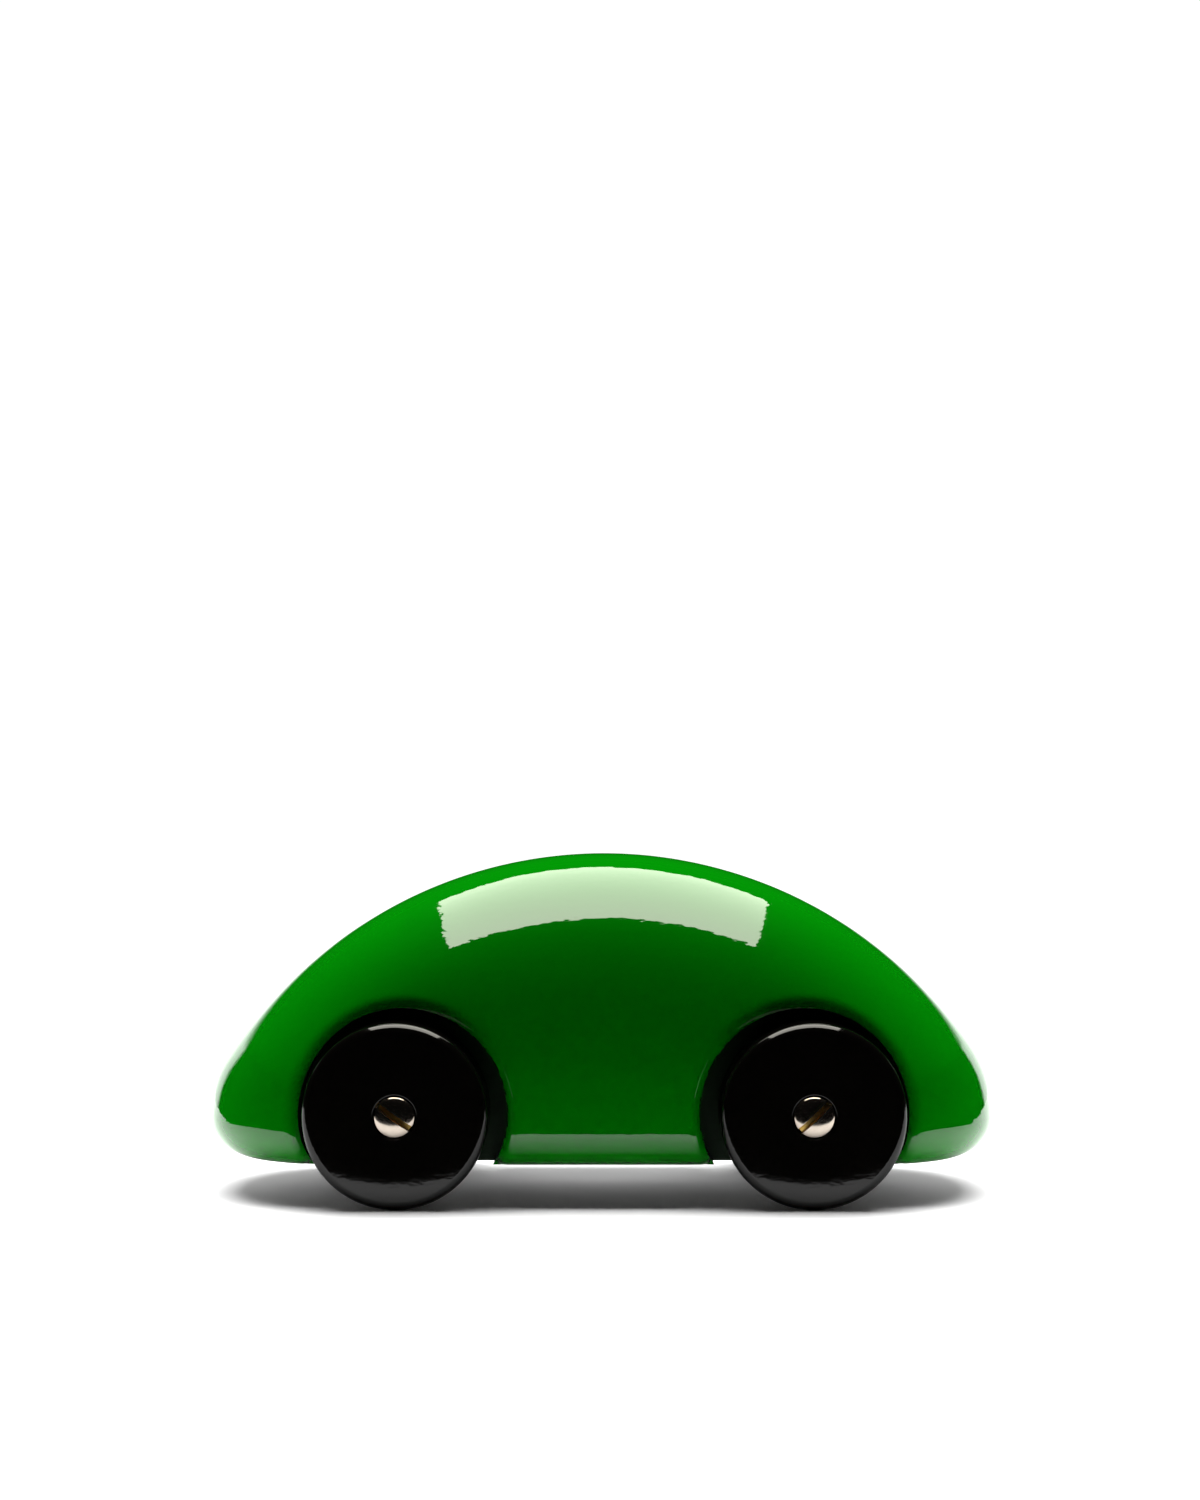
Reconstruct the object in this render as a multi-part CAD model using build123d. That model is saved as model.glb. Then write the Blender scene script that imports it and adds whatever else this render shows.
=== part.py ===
from build123d import *

import os
from math import atan2, copysign, cos, hypot, pi, radians, sin, sqrt, tan

# Pull-back toy car, millimetres. +X is the front, +Y the left side, +Z up.
# The origin is on the ground, under the middle of the body.

# Body: one block of wood, milled and lacquered
body_length = 170.0
body_height = 64.5
axle_above_bottom = 11.25
body_half_width = 33.0
end_radius = 25.0
roof_centre_x = 0.5
roof_crown = 49.0
nose_crown = 29.0
crown_power = 2.15
sill_radius = 8.0
foot_radius = 10.0
fan_start = 8.0
fan_end_step = 3.0
fan_end_count = 11
fan_roof_count = 16
arch_steps = 14
sill_steps = 8
sill_lap = 0.4

# Wheels and their wells
wheel_diameter = 38.5
wheel_width = 15.3
wheel_inner_face = 21.2
wheel_outer_round = 1.9
wheel_inner_round = 1.4
rear_axle_x = -42.6
front_axle_x = 43.8
well_clearance = 2.5
rear_well_shift = 1.3
front_well_shift = -1.6
web_half_width = 19.0

# Axles and wheel screws
axle_diameter = 8.0
axle_seat_depth = 4.0
screw_diameter = 5.0
screw_thread_length = 8.2
screw_head_diameter = 8.8
screw_head_rim = 0.25
screw_dome = 1.2
screw_slot_width = 1.15
screw_slot_depth = 2.1
screw_bore_clearance = 0.1
screw_sink_clearance = 0.3
screw_sink_depth = 0.35
slot_angles = {"rear_right": -35.0, "front_right": 43.0, "rear_left": 20.0, "front_left": -62.0}
tapped_hole_spare = 2.0

# Bearings and spacers
running_clearance = 0.05
bush_wall = 1.25
bush_length = 8.0
bush_flange_wall = 3.0
bush_flange_thickness = 1.0
axle_bore_clearance = 0.5
washer_wall = 2.5
washer_play = 0.2
sleeve_wall = 0.6
sleeve_play = 0.15
slot_clearance = 0.3

# Gears: stub involute teeth
module = 0.5
pressure_angle = 20.0
addendum = 0.8 * module
dedendum = 1.1 * module
backlash = 0.12
axle_teeth = 24
drive_teeth = 36
pinion_teeth = 12
spring_teeth = 48
idler_teeth = 20
winding_teeth = 24

# Motor layers along Y
arbor_distance = 20.0
arbor_direction = 17.4
case_half_width = 13.0
case_wall = 1.5
case_clearance = 0.3
barrel_end_y = -3.3
barrel_wall = 1.5
barrel_floor = 1.0
barrel_radius = 13.5
spring_gear_y = -2.8
spring_gear_width = 2.0
drive_gear_y = 0.5
drive_gear_width = 2.2
pinion_y = -3.0
pinion_shoulder_y = 0.4
input_gear_y = 4.0
idler_width = 2.0
dog_height = 0.8
dog_gap = 0.4
dog_count = 4
dog_arc = 30.0
dog_inner_radius = 2.0
dog_outer_radius = 4.0
clutch_travel = 1.0
bearing_depth = 2.7
gear_side_play = 0.3

# Motor shafts and mainspring
arbor_diameter = 4.0
spool_diameter = 8.0
pin_diameter = 2.0
pin_head_diameter = 3.2
pin_head_height = 0.6
ribbon_thickness = 0.3
ribbon_width = 6.2
ribbon_turns = 6
hex_across = 3.8
hub_wall = 0.9

# Case, cover and small screws
case_room = 1.9
case_floor_gap = 0.2
boss_radius = 2.0
case_screw_diameter = 2.0
case_screw_length = 11.0
ear_length = 6.0
ear_thickness = 2.0
ear_half_width = 5.5
cover_thickness = 1.2
cover_margin = 7.0
cover_half_width = 16.5
cover_corner = 6.0
cover_clearance = 0.15
cover_screw_inset = 4.5
wood_screw_diameter = 2.6
wood_screw_length = 11.0
wood_screw_head = 4.8

# Worked out from the sizes above
axle_z = wheel_diameter / 2
axle_radius = axle_diameter / 2
body_bottom = axle_z - axle_above_bottom
body_top = body_bottom + body_height
wheel_outer_face = wheel_inner_face + wheel_width
well_radius = wheel_diameter / 2 + well_clearance
axle_end = wheel_inner_face + axle_seat_depth
waist_height = body_bottom + sill_radius
crown_height = body_top - waist_height
end_reach = body_length / 2
end_square = crown_height ** 2 + end_reach ** 2 - 2 * end_radius * end_reach
roof_radius = end_square / (2 * (crown_height - end_radius))
hub_x = roof_centre_x
hub_z = body_top - roof_radius
waist_rise = waist_height - hub_z
case_inner = case_half_width - case_wall
bearing_y = case_half_width - bearing_depth
bush_diameter = axle_diameter + 2 * bush_wall
bush_flange_diameter = axle_diameter + 2 * bush_flange_wall
washer_diameter = axle_diameter + 2 * washer_wall
sleeve_diameter = axle_diameter + 2 * sleeve_wall
case_floor_z = body_bottom + cover_thickness + case_floor_gap


def rod(x, z, y0, y1, radius):
    """Cylinder along Y from y0 to y1."""
    return Pos(x, (y0 + y1) / 2, z) * Rot(90, 0, 0) * Cylinder(radius, y1 - y0)


def tube(x, z, y0, y1, outer, inner):
    """Ring along Y from y0 to y1."""
    return rod(x, z, y0, y1, outer) - rod(x, z, y0 - 1, y1 + 1, inner)


def block(x0, x1, y0, y1, z0, z1):
    """Box between two corners."""
    return Pos((x0 + x1) / 2, (y0 + y1) / 2, (z0 + z1) / 2) * Box(x1 - x0, y1 - y0, z1 - z0)


def one_solid(shape):
    """The single solid of a boolean result."""
    return shape.solids().sort_by(SortBy.VOLUME)[-1]


def save(name, *shapes):
    """Write one node to parts/NAME.step."""
    solids = [solid for shape in shapes for solid in shape.solids()]
    node = solids[0] if len(solids) == 1 else Compound(children=solids)
    node.label = name
    export_step(node, f"parts/{name}.step")


# ---------------------------------------------------------------- body

def end_arc(reach):
    """Centre distance and radius of the arc that joins the roof arc to the upright end."""
    radius = (roof_radius ** 2 - reach ** 2 - waist_rise ** 2) / (2 * (roof_radius - reach))
    return reach - radius, radius


def outline_radius(angle):
    """Distance from the hub to the side outline, at an angle in degrees from +X."""
    theta = radians(min(angle, 180 - angle))
    reach = body_length / 2 + (-hub_x if angle <= 90 else hub_x)
    centre, radius = end_arc(reach)
    if theta >= atan2(waist_rise, centre):
        return roof_radius
    if theta <= atan2(waist_rise, reach):
        return reach / cos(theta)
    across = centre * sin(theta) - waist_rise * cos(theta)
    return centre * cos(theta) + waist_rise * sin(theta) + sqrt(radius ** 2 - across ** 2)


def flank_radius(angle):
    """Distance from the hub to where the flat flank ends and the crown starts."""
    theta = radians(min(angle, 180 - angle))
    long = body_length / 2 - nose_crown
    short = body_top - waist_height - roof_crown
    if theta <= atan2(waist_rise, long):
        return long / cos(theta)
    spread = (cos(theta) / long) ** 2 + (sin(theta) / short) ** 2
    lean = sin(theta) * waist_rise / short ** 2
    return (lean + sqrt(lean ** 2 - spread * ((waist_rise / short) ** 2 - 1))) / spread


def crown_points(flank, crown, inset=0.0):
    """Points of a crown curve, (distance, y), from the right flank over to the left flank."""
    points = []
    for step in range(arch_steps + 1):
        turn = pi * (step / arch_steps - 0.5)
        rise = max(cos(turn), 0) ** (2 / crown_power)
        across = copysign(abs(sin(turn)) ** (2 / crown_power), turn)
        normal_up = rise ** (crown_power - 1) / crown
        normal_out = copysign(abs(across) ** (crown_power - 1), turn) / body_half_width
        size = hypot(normal_up, normal_out)
        up = flank + crown * rise - inset * normal_up / size
        points.append((up, body_half_width * across - inset * normal_out / size))
    return points


def arch_section(angle):
    """One arch closed along its flanks and its foot near the hub line."""
    theta = radians(angle)
    flank = flank_radius(angle)
    points = crown_points(flank, outline_radius(angle) - flank)
    right_foot = (foot_radius, -body_half_width)
    left_foot = (foot_radius, body_half_width)
    crown = Spline(*points, tangents=((1, 0), (-1, 0)))
    flanks = [Line(right_foot, points[0]), Line(points[-1], left_foot), Line(left_foot, right_foot)]
    radial = (cos(theta), 0, sin(theta))
    plane = Plane(origin=(hub_x, 0, hub_z), x_dir=radial, z_dir=(-sin(theta), 0, cos(theta)))
    return plane * make_face([crown, *flanks])


def plan_section(inset, height):
    """Plan outline of the body at its waist, moved inwards, at a height above the ground."""
    flank = body_length / 2 - nose_crown
    nose = crown_points(flank - hub_x, nose_crown, inset)
    tail = [(-along, across) for along, across in crown_points(flank + hub_x, nose_crown, inset)]
    edges = [
        Spline(*nose, tangents=((1, 0), (-1, 0))),
        Line(nose[-1], tail[-1]),
        Spline(*reversed(tail), tangents=((-1, 0), (1, 0))),
        Line(tail[0], nose[0]),
    ]
    return Pos(hub_x, 0, height) * make_face(edges)


def body_shell():
    """The solid outer form: a fan of arches, cut flat below, with a rounded lower edge."""
    low_angles = [fan_start + fan_end_step * step for step in range(fan_end_count)]
    roof_sweep = 180 - 2 * low_angles[-1]
    roof_angles = [low_angles[-1] + roof_sweep * step / fan_roof_count for step in range(1, fan_roof_count)]
    angles = low_angles + roof_angles + [180 - angle for angle in reversed(low_angles)]
    shell = loft([arch_section(angle) for angle in angles])
    reach = body_length
    shell -= block(-reach, reach, -reach, reach, hub_z - reach, body_bottom)
    sections = []
    for step in range(sill_steps + 1):
        turn = pi / 2 * step / sill_steps
        inset = sill_radius * (1 - cos(turn)) - sill_lap
        sections.append(plan_section(inset, waist_height - sill_radius * sin(turn)))
    rim = block(-reach, reach, -reach, reach, body_bottom, waist_height) - loft(sections)
    return one_solid(shell - rim)


def well_centre(axle_x):
    """Wells sit a little towards the middle of the car from their axles."""
    return axle_x + (rear_well_shift if axle_x == rear_axle_x else front_well_shift)


def make_body():
    """Milled body: four wheel wells, motor pocket, axle slots, bush bores and cover recess."""
    shape = body_shell()
    reach = body_half_width + wheel_width
    for axle_x in (rear_axle_x, front_axle_x):
        for near, far in ((-reach, -web_half_width), (web_half_width, reach)):
            shape -= rod(well_centre(axle_x), axle_z, near, far, well_radius)
    shape -= rod(front_axle_x, axle_z, -reach, reach, axle_radius + axle_bore_clearance)
    for side in (-1, 1):
        ends = sorted((side * (web_half_width - bush_length), side * reach))
        shape -= rod(front_axle_x, axle_z, *ends, bush_diameter / 2)
    slot_half = sleeve_diameter / 2 + slot_clearance
    shape -= rod(rear_axle_x, axle_z, -reach, reach, slot_half)
    slot_x = (rear_axle_x - slot_half, rear_axle_x + slot_half)
    shape -= block(*slot_x, -web_half_width - 1, web_half_width + 1, 0, axle_z)
    pocket_y = case_half_width + case_clearance
    pocket_top = case_top + case_clearance
    pocket_x = (case_x[0] - case_clearance, case_x[1] + case_clearance)
    shape -= block(*pocket_x, -pocket_y, pocket_y, 0, pocket_top)
    ear_reach = ear_length + 2 * case_clearance
    ear_y = ear_half_width + case_clearance
    ear_top = case_floor_z + ear_thickness
    shape -= block(case_x[0] - ear_reach, case_x[1] + ear_reach, -ear_y, ear_y, 0, ear_top)
    shape -= cover_plan(cover_clearance, cover_thickness)
    for x, y in cover_screw_places:
        shape -= upright(x, y, body_bottom, body_bottom + wood_screw_length, wood_screw_diameter / 2)
    for x in ear_screw_x:
        shape -= upright(x, 0, case_floor_z, case_floor_z + wood_screw_length, wood_screw_diameter / 2)
    return one_solid(shape)


def upright(x, y, z0, z1, radius):
    """Cylinder along Z from z0 to z1."""
    return Pos(x, y, (z0 + z1) / 2) * Cylinder(radius, z1 - z0)


def cover_plan(gap, thickness):
    """Rounded plate under the motor pocket, larger all round by a gap."""
    length = cover_x[1] - cover_x[0] + 2 * gap
    plate = RectangleRounded(length, 2 * (cover_half_width + gap), cover_corner + gap)
    middle = (cover_x[0] + cover_x[1]) / 2
    return Pos(middle, 0, body_bottom) * extrude(plate, amount=thickness)


# ---------------------------------------------------------------- wheels and their screws

def make_wheel(axle_x, side):
    """Turned disc with a generously rounded outer edge, bored for its axle and screw."""
    inner = side * wheel_inner_face
    outer = side * wheel_outer_face
    disc = rod(axle_x, axle_z, *sorted((inner, outer)), wheel_diameter / 2)
    rims = disc.edges().filter_by(GeomType.CIRCLE).sort_by(Axis.Y)
    if side < 0:
        rims = rims[::-1]
    disc = fillet(rims[0], wheel_inner_round)
    rims = disc.edges().filter_by(GeomType.CIRCLE).sort_by(Axis.Y)
    disc = fillet(rims[-1] if side > 0 else rims[0], wheel_outer_round)
    disc -= rod(axle_x, axle_z, *sorted((inner - side, side * axle_end)), axle_radius)
    bore = screw_diameter / 2 + screw_bore_clearance
    disc -= rod(axle_x, axle_z, *sorted((inner, outer)), bore)
    return one_solid(disc - along_y(sink_profile(), axle_x, side, wheel_outer_face))


def along_y(profile, x, side, face_y):
    """Revolve (radius, depth) points about the axle line; depth runs inwards from a wheel's face."""
    points = [(radius, -depth) for radius, depth in profile]
    solid = revolve(make_face(Polyline(*points, close=True)), Axis.Y)
    return Pos(x, side * face_y, axle_z) * (solid if side > 0 else Rot(180, 0, 0) * solid)


def sink_profile():
    """Countersunk seat with a short straight mouth."""
    mouth = screw_head_diameter / 2 + screw_sink_clearance
    seat = screw_head_diameter / 2
    tip = screw_sink_depth + screw_head_rim + seat
    return [(0, -1), (mouth, -1), (mouth, screw_sink_depth), (seat, screw_sink_depth),
            (seat, screw_sink_depth + screw_head_rim), (0, tip)]


def make_wheel_screw(name, axle_x, side):
    """Raised countersunk machine screw with one wide slot."""
    head = screw_head_diameter / 2
    shank = screw_diameter / 2
    rim = screw_sink_depth
    cone = rim + screw_head_rim
    length = wheel_outer_face - axle_end + screw_thread_length
    dome_radius = (head ** 2 + screw_dome ** 2) / (2 * screw_dome)
    half_turn = atan2(head, dome_radius - screw_dome) / 2
    middle = (dome_radius * sin(half_turn), -rim + screw_dome - dome_radius * (1 - cos(half_turn)))
    top = (0, screw_dome - rim)
    edges = [
        ThreePointArc(top, middle, (head, -rim)),
        Polyline((head, -rim), (head, -cone), (shank, shank - cone - head)),
        Polyline((shank, shank - cone - head), (shank, -length), (0, -length), top),
    ]
    screw = revolve(make_face(edges), Axis.Y)
    reach = screw_head_diameter
    slot_floor = screw_dome - rim - screw_slot_depth
    slot = block(-reach, reach, slot_floor, reach, -screw_slot_width / 2, screw_slot_width / 2)
    screw = screw - Rot(0, slot_angles[name], 0) * slot
    if side < 0:
        screw = Rot(180, 0, 0) * screw
    return one_solid(Pos(axle_x, side * wheel_outer_face, axle_z) * screw)


# ---------------------------------------------------------------- axles, bushes and spacers

def make_axle(axle_x):
    """Ground steel axle with a tapped hole in each end."""
    shaft = rod(axle_x, axle_z, -axle_end, axle_end, axle_radius)
    depth = screw_thread_length + tapped_hole_spare
    for side in (-1, 1):
        ends = sorted((side * (axle_end - depth), side * (axle_end + 1)))
        shaft -= rod(axle_x, axle_z, *ends, screw_diameter / 2)
    return shaft


def make_bush(side):
    """Flanged bush pressed into the body for the front axle."""
    bore = axle_radius + running_clearance
    barrel = sorted((side * (web_half_width - bush_length), side * web_half_width))
    flange = sorted((side * web_half_width, side * (web_half_width + bush_flange_thickness)))
    bush = tube(front_axle_x, axle_z, *barrel, bush_diameter / 2, bore)
    return one_solid(bush + tube(front_axle_x, axle_z, *flange, bush_flange_diameter / 2, bore))


def make_washer(side):
    """Nylon washer between a front wheel and its bush."""
    near = web_half_width + bush_flange_thickness + washer_play
    ends = sorted((side * near, side * wheel_inner_face))
    return tube(front_axle_x, axle_z, *ends, washer_diameter / 2, axle_radius)


def make_sleeve(side):
    """Spacer sleeve between a rear wheel and the motor bearing."""
    ends = sorted((side * (case_half_width + sleeve_play), side * wheel_inner_face))
    return tube(rear_axle_x, axle_z, *ends, sleeve_diameter / 2, axle_radius)


# ---------------------------------------------------------------- gears

def polar(radius, angle):
    """Point at a radius and an angle in radians."""
    return (radius * cos(angle), radius * sin(angle))


def gear_face(teeth, phase):
    """Outline of a spur gear with a tooth centred at the phase angle, in radians."""
    pitch = module * teeth / 2
    base = pitch * cos(radians(pressure_angle))
    tip = pitch + addendum
    root = pitch - dedendum
    start = max(base, root)
    involute_at_pitch = tan(radians(pressure_angle)) - radians(pressure_angle)
    half_tooth = pi / (2 * teeth) - backlash / (4 * pitch)

    def flank(radius):
        roll = sqrt(max((radius / base) ** 2 - 1, 0))
        return half_tooth + involute_at_pitch - (roll - atan2(roll, 1))

    steps = 4
    radii = [start + (tip - start) * step / steps for step in range(steps + 1)]
    edges = []
    for tooth in range(teeth):
        centre = phase + 2 * pi * tooth / teeth
        rising = [polar(radius, centre - flank(radius)) for radius in radii]
        falling = [polar(radius, centre + flank(radius)) for radius in reversed(radii)]
        foot_in = polar(root, centre - flank(start))
        foot_out = polar(root, centre + flank(start))
        next_foot = centre + 2 * pi / teeth - flank(start)
        gap_middle = polar(root, centre + pi / teeth)
        if start > root:
            edges.append(Line(foot_in, rising[0]))
        edges.append(Spline(*rising))
        edges.append(ThreePointArc(rising[-1], polar(tip, centre), falling[0]))
        edges.append(Spline(*falling))
        if start > root:
            edges.append(Line(falling[-1], foot_out))
        edges.append(ThreePointArc(foot_out, gap_middle, polar(root, next_foot)))
    return make_face(edges)


def make_gear(teeth, place, y0, width, phase, bore):
    """Spur gear along Y on a shaft at place (x, z)."""
    blank = extrude(Plane.XZ * gear_face(teeth, phase), amount=width, dir=(0, 1, 0))
    blank = Pos(place[0], y0, place[1]) * one_solid(blank)
    return one_solid(blank - rod(*place, y0 - 1, y0 + width + 1, bore / 2))


def mesh_phase(phase, teeth, place, mate_teeth, mate_place):
    """Phase of a mating gear, given the phase of the gear it meshes with."""
    line = atan2(mate_place[1] - place[1], mate_place[0] - place[0])
    return line + pi - (phase - line) * teeth / mate_teeth + pi / mate_teeth


def crossing(first, first_radius, second, second_radius, side):
    """Point at given distances from two points, on one side of the line between them."""
    dx = second[0] - first[0]
    dz = second[1] - first[1]
    gap = hypot(dx, dz)
    along = (first_radius ** 2 - second_radius ** 2 + gap ** 2) / (2 * gap)
    off = side * sqrt(first_radius ** 2 - along ** 2)
    return (first[0] + (along * dx - off * dz) / gap, first[1] + (along * dz + off * dx) / gap)


def dogs(place, y0, y1, start):
    """Ring of clutch dogs, as sectors, on the face of a gear."""
    ring = tube(*place, y0, y1, dog_outer_radius, dog_inner_radius)
    reach = 2 * dog_outer_radius
    half = radians(dog_arc / 2)
    shapes = []
    for number in range(dog_count):
        middle = start + 2 * pi * number / dog_count
        corners = [(0, 0), polar(reach, middle - half), polar(reach, middle + half)]
        wedge = extrude(Plane.XZ * make_face(Polyline(*corners, close=True)), amount=y1 - y0, dir=(0, 1, 0))
        shapes.append(ring & (Pos(place[0], y0, place[1]) * wedge))
    return shapes


# ---------------------------------------------------------------- motor layout

drive_reach = module * (axle_teeth + drive_teeth) / 2
spring_reach = module * (pinion_teeth + spring_teeth) / 2
input_reach = module * (axle_teeth + idler_teeth) / 2
output_reach = module * (idler_teeth + winding_teeth) / 2
axle_place = (rear_axle_x, axle_z)
arbor_line = radians(arbor_direction)
arbor_place = (rear_axle_x + arbor_distance * cos(arbor_line), axle_z + arbor_distance * sin(arbor_line))
drive_place = crossing(axle_place, drive_reach, arbor_place, spring_reach, 1)
winding_place = crossing(axle_place, input_reach, arbor_place, output_reach, -1)

output_gear_y = input_gear_y + idler_width + 2 * dog_height + dog_gap
pin_radius = pin_diameter / 2
free_bore = pin_diameter + 2 * running_clearance
axle_gear_tip = module * axle_teeth / 2 + addendum
drive_gear_tip = module * drive_teeth / 2 + addendum
case_x = (
    rear_axle_x - axle_gear_tip - case_room - case_wall,
    arbor_place[0] + barrel_radius + gear_side_play + case_wall,
)
case_top = drive_place[1] + drive_gear_tip + gear_side_play + case_wall
post_inset = case_wall + boss_radius - 0.2
case_posts = [(x, z) for x in (case_x[0] + post_inset, case_x[1] - post_inset)
              for z in (case_floor_z + post_inset, case_top - post_inset)]
ear_screw_x = (case_x[0] - ear_length / 2, case_x[1] + ear_length / 2)
cover_x = (case_x[0] - ear_length - cover_margin, case_x[1] + ear_length + cover_margin)
cover_screw_places = [(x, y) for x in (cover_x[0] + cover_screw_inset, cover_x[1] - cover_screw_inset)
                      for y in (cover_screw_inset - cover_half_width, cover_half_width - cover_screw_inset)]


# ---------------------------------------------------------------- motor case, cover and small screws

def make_case():
    """Moulded tub, open to the left, with four screw posts, a bearing boss and two ears."""
    tub = block(*case_x, -case_half_width, case_inner, case_floor_z, case_top)
    inner_x = (case_x[0] + case_wall, case_x[1] - case_wall)
    tub -= block(*inner_x, -case_inner, case_half_width, case_floor_z + case_wall, case_top - case_wall)
    for x, z in case_posts:
        tub += rod(x, z, -case_inner, case_inner, boss_radius)
    tub += rod(*axle_place, -case_inner, -bearing_y, bush_diameter / 2 + hub_wall)
    for low, high in ((case_x[0] - ear_length, case_x[0]), (case_x[1], case_x[1] + ear_length)):
        tub += block(low, high, -ear_half_width, ear_half_width, case_floor_z, case_floor_z + ear_thickness)
    tub -= rod(*axle_place, -case_half_width - 1, 0, bush_diameter / 2)
    tub -= rod(*arbor_place, -case_half_width - 1, 0, arbor_diameter / 2 + running_clearance)
    tub -= rod(*drive_place, -case_half_width - 1, 0, pin_radius)
    for x, z in case_posts:
        tub -= rod(x, z, case_half_width - case_screw_length, case_half_width, case_screw_diameter / 2)
    for x in ear_screw_x:
        tub -= screw_shape(x, 0, case_floor_z)
    return one_solid(tub)


def make_lid():
    """Flat lid with bosses for the axle bearing and the sliding winding pin."""
    lid = block(*case_x, case_inner, case_half_width, case_floor_z, case_top)
    lid += rod(*axle_place, bearing_y, case_inner, bush_diameter / 2 + hub_wall)
    lid += rod(*winding_place, bearing_y, case_inner, free_bore / 2 + hub_wall)
    lid -= rod(*axle_place, 0, case_half_width + 1, bush_diameter / 2)
    lid -= rod(*arbor_place, 0, case_half_width + 1, arbor_diameter / 2 + running_clearance)
    lid -= rod(*drive_place, 0, case_half_width + 1, pin_radius)
    lid -= rod(*winding_place, 0, case_half_width + 1, free_bore / 2)
    for x, z in case_posts:
        lid -= case_screw_shape(x, z)
    return one_solid(lid)


def make_bearing(side):
    """Plain bush pressed into the motor case for the drive axle."""
    ends = sorted((side * bearing_y, side * case_half_width))
    return tube(*axle_place, *ends, bush_diameter / 2, axle_radius + running_clearance)


def countersunk(head, shank, length):
    """Flat countersunk screw standing on its head at the origin, pointing up +Z."""
    points = [(0, 0), (head, 0), (shank, head - shank), (shank, length - shank), (0, length)]
    return revolve(Plane.XZ * make_face(Polyline(*points, close=True)), Axis.Z)


def slotted(screw, head):
    """Driver slot across a screw head that faces down."""
    return one_solid(screw - block(-2 * head, 2 * head, -head / 7, head / 7, -1, head / 4))


def screw_shape(x, y, z):
    """Wood screw driven upwards, its head flush at height z."""
    return Pos(x, y, z) * countersunk(wood_screw_head / 2, wood_screw_diameter / 2, wood_screw_length)


def make_wood_screw(x, y, z, turn):
    """Small countersunk screw driven up into the body from below."""
    screw = countersunk(wood_screw_head / 2, wood_screw_diameter / 2, wood_screw_length)
    return Pos(x, y, z) * Rot(0, 0, turn) * slotted(screw, wood_screw_head / 2)


def case_screw_shape(x, z):
    """Case screw driven to the right from the outside of the lid."""
    shank = case_screw_diameter / 2
    screw = countersunk(1.8 * shank, shank, case_screw_length)
    return Pos(x, case_half_width, z) * Rot(90, 0, 0) * screw


def make_case_screw(x, z, turn):
    """Small screw that holds the lid on the motor case."""
    shank = case_screw_diameter / 2
    screw = slotted(countersunk(1.8 * shank, shank, case_screw_length), 1.8 * shank)
    return Pos(x, case_half_width, z) * Rot(90, 0, 0) * Rot(0, 0, turn) * screw


def make_cover():
    """Plate that closes the motor pocket, with four countersunk holes."""
    plate = cover_plan(0, cover_thickness)
    for x, y in cover_screw_places:
        plate -= screw_shape(x, y, body_bottom)
    return one_solid(plate)


# ---------------------------------------------------------------- motor works

def make_axle_gears():
    """Hub moulded with two gears: one is driven by the spring, the other winds it."""
    hub_y = (drive_gear_y - 1.5, input_gear_y + idler_width + 1.5)
    hub = tube(*axle_place, *hub_y, axle_radius + hub_wall, axle_radius)
    for y0, width, phase in ((drive_gear_y, drive_gear_width, 0), (input_gear_y, idler_width, 0.1)):
        hub += make_gear(axle_teeth, axle_place, y0, width, phase, axle_diameter)
    return one_solid(hub)


def hex_rod(place, y0, y1, across):
    """Hexagonal bar along Y."""
    hexagon = Plane.XZ * RegularPolygon(across / 2, 6, major_radius=False)
    prism = extrude(hexagon, amount=y1 - y0, dir=(0, 1, 0))
    return Pos(place[0], y0, place[1]) * prism


def make_drive_gear():
    """Large gear that meshes with the axle, keyed on the pinion's hexagon."""
    phase = mesh_phase(0, axle_teeth, axle_place, drive_teeth, drive_place)
    gear = make_gear(drive_teeth, drive_place, drive_gear_y, drive_gear_width, phase, free_bore)
    bore_y = (drive_gear_y - 1, drive_gear_y + drive_gear_width + 1)
    return one_solid(gear - hex_rod(drive_place, *bore_y, hex_across))


def make_drive_pinion():
    """Small gear driven by the spring, with a hexagonal key on its end."""
    length = pinion_shoulder_y - pinion_y
    pinion = make_gear(pinion_teeth, drive_place, pinion_y, length, 0, free_bore)
    pinion += hex_rod(drive_place, pinion_shoulder_y, drive_gear_y + drive_gear_width, hex_across)
    return one_solid(pinion - rod(*drive_place, pinion_y - 1, case_inner, free_bore / 2))


def make_spring_gear():
    """Gear on the arbor through which the mainspring drives."""
    phase = mesh_phase(0, pinion_teeth, drive_place, spring_teeth, arbor_place)
    return make_gear(spring_teeth, arbor_place, spring_gear_y, spring_gear_width, phase, arbor_diameter)


def make_winding_gear():
    """Gear on the arbor that winds the mainspring, wide enough for the sliding idler."""
    y0 = output_gear_y - clutch_travel
    return make_gear(winding_teeth, arbor_place, y0, idler_width + clutch_travel, 0, arbor_diameter)


def make_input_idler():
    """Idler turned by the axle, with clutch dogs on its left face."""
    phase = mesh_phase(0.1, axle_teeth, axle_place, idler_teeth, winding_place)
    gear = make_gear(idler_teeth, winding_place, input_gear_y, idler_width, phase, free_bore)
    face = input_gear_y + idler_width
    for dog in dogs(winding_place, face, face + dog_height, 0):
        gear += dog
    return one_solid(gear)


def make_output_idler():
    """Idler that turns the arbor when its dogs are pushed into the other idler's."""
    phase = mesh_phase(0, winding_teeth, arbor_place, idler_teeth, winding_place)
    gear = make_gear(idler_teeth, winding_place, output_gear_y, idler_width, phase, free_bore)
    for dog in dogs(winding_place, output_gear_y - dog_height, output_gear_y, pi / dog_count):
        gear += dog
    return one_solid(gear)


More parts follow.
